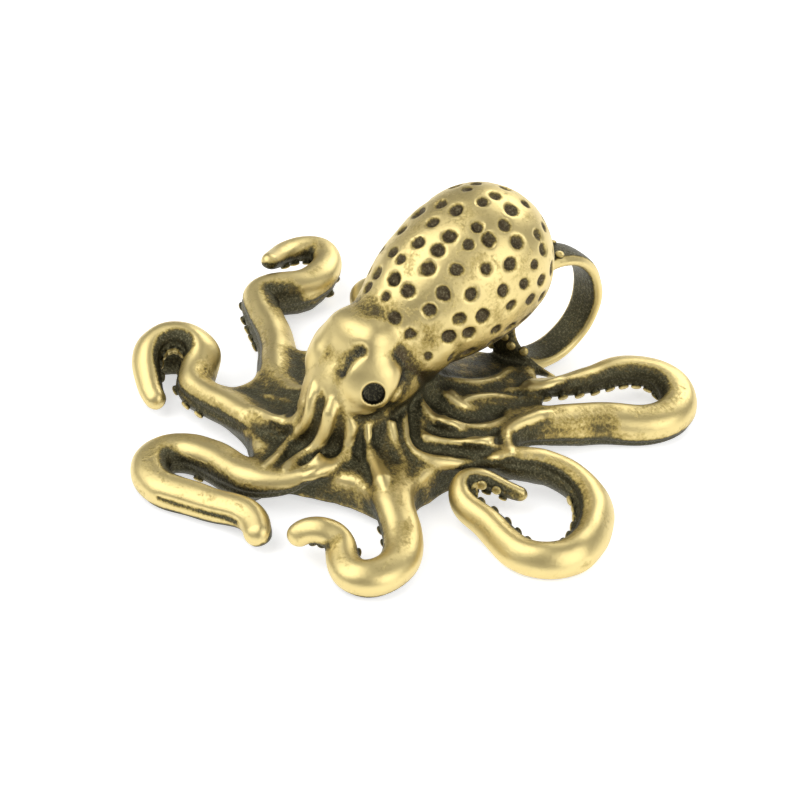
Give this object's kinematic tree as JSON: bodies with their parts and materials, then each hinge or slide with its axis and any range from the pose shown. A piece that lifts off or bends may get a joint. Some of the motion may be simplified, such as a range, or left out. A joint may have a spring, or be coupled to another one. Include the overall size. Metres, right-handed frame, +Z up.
{
  "type": "octopus figurine",
  "caption": "Small cast brass octopus with an egg-shaped pitted mantle, drilled eyes, web, eight curling arms with suckers, and one arm curled into a hanging loop.",
  "frame": {"origin": "on the table plane, under the middle of the whole figure", "axes": "+Z up, -Y the way the face looks, +X the animal's own left, which is the figure's longest extent"},
  "size_m": [0.0551, 0.0498, 0.0232],
  "materials": {
    "head_brass": "antiqued, dark patina in the valleys, worn bright on the ridges",
    "mantle_brass": "antiqued and buffed, dark patina in the dimples",
    "web_brass": "antiqued, rough as cast, dark patina",
    "eye_brass": "antiqued and buffed, dark patina in the socket",
    "arm_brass": "antiqued, buffed bright on top, dark patina underneath",
    "sucker_brass": "antiqued, bright crests with dark feet"
  },
  "bodies": {
    "root": {"head": "head_brass", "mantle": "mantle_brass", "web": "web_brass", "eye_left": "eye_brass", "eye_right": "eye_brass", "arm_left_1": "arm_brass", "arm_left_2": "arm_brass", "arm_left_3": "arm_brass", "arm_left_4": "arm_brass", "arm_right_1": "arm_brass", "arm_right_2": "arm_brass", "arm_right_3": "arm_brass", "arm_right_4": "arm_brass", "suckers_left_1": "sucker_brass", "suckers_left_2": "sucker_brass", "suckers_left_3": "sucker_brass", "suckers_left_4": "sucker_brass", "suckers_right_1": "sucker_brass", "suckers_right_2": "sucker_brass", "suckers_right_3": "sucker_brass", "suckers_right_4": "sucker_brass"}
  },
  "joints": []
}
